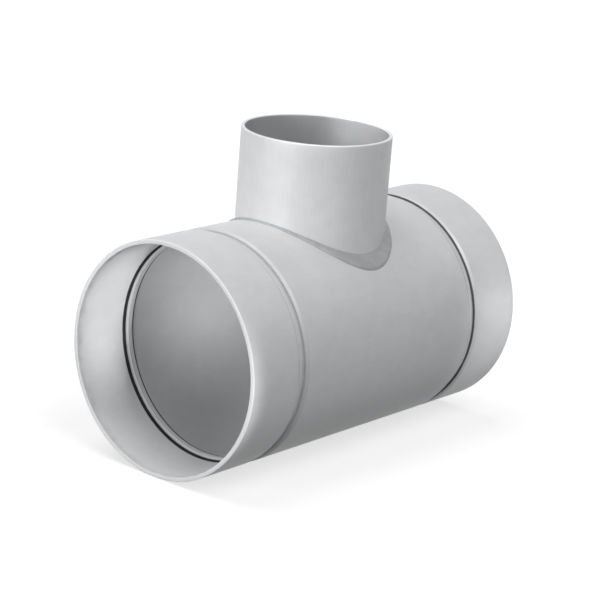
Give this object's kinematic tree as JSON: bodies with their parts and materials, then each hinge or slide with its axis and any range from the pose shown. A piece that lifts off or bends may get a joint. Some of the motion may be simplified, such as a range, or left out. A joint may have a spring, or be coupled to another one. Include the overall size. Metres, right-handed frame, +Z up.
{
  "type": "spiral duct tee",
  "caption": "Round duct tee: a straight open tube with a rolled stop bead near each mouth and a smaller tube welded upright on its middle.",
  "frame": {"origin": "centre of the inlet mouth of the run", "axes": "+X along the run from the inlet to the outlet, +Z up along the branch"},
  "size_m": [0.232, 0.13, 0.177],
  "materials": {
    "zinc_coated_sheet": "satin zinc-coated sheet",
    "dressed_weld": "matt zinc paint over the weld"
  },
  "bodies": {
    "root": {"run_tube": "zinc_coated_sheet", "branch_tube": "zinc_coated_sheet", "saddle_weld": "dressed_weld"}
  },
  "joints": []
}
